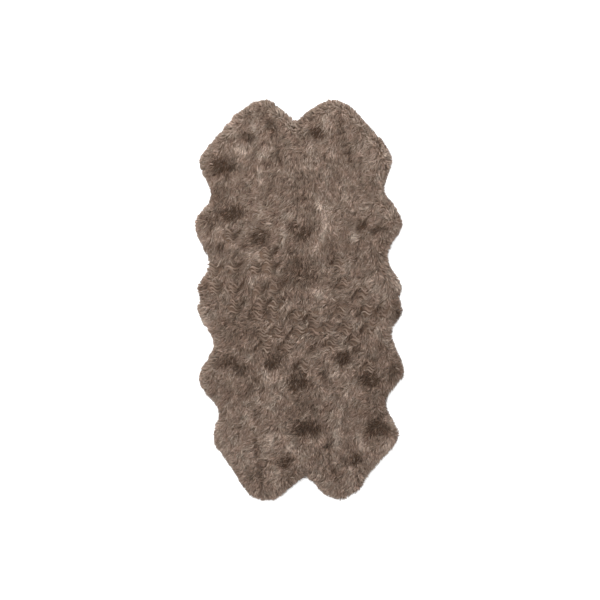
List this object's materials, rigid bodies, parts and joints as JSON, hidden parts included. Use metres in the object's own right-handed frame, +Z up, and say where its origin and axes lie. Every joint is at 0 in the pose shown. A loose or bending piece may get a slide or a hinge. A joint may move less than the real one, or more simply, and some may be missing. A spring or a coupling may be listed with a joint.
{
  "type": "sheepskin rug",
  "caption": "Long-haired sheepskin rug sewn from pelts laid side by side and end to end, with scalloped sides and rounded lobes at both ends, lying flat.",
  "frame": {"origin": "on the floor under the middle of the rug's length and width", "axes": "+Y along the rug to its far end, the top of the picture; +X across it to the right; +Z up out of the wool"},
  "size_m": [0.9539, 1.8318, 0.061],
  "materials": {
    "wool": "long taupe-brown dyed sheep's wool, matt",
    "hide": "pale tan suede flesh side"
  },
  "bodies": {
    "root": {"wool_far_left": "wool", "wool_far_right": "wool", "wool_near_left": "wool", "wool_near_right": "wool", "hide_far_left": "hide", "hide_far_right": "hide", "hide_near_left": "hide", "hide_near_right": "hide"}
  },
  "joints": []
}
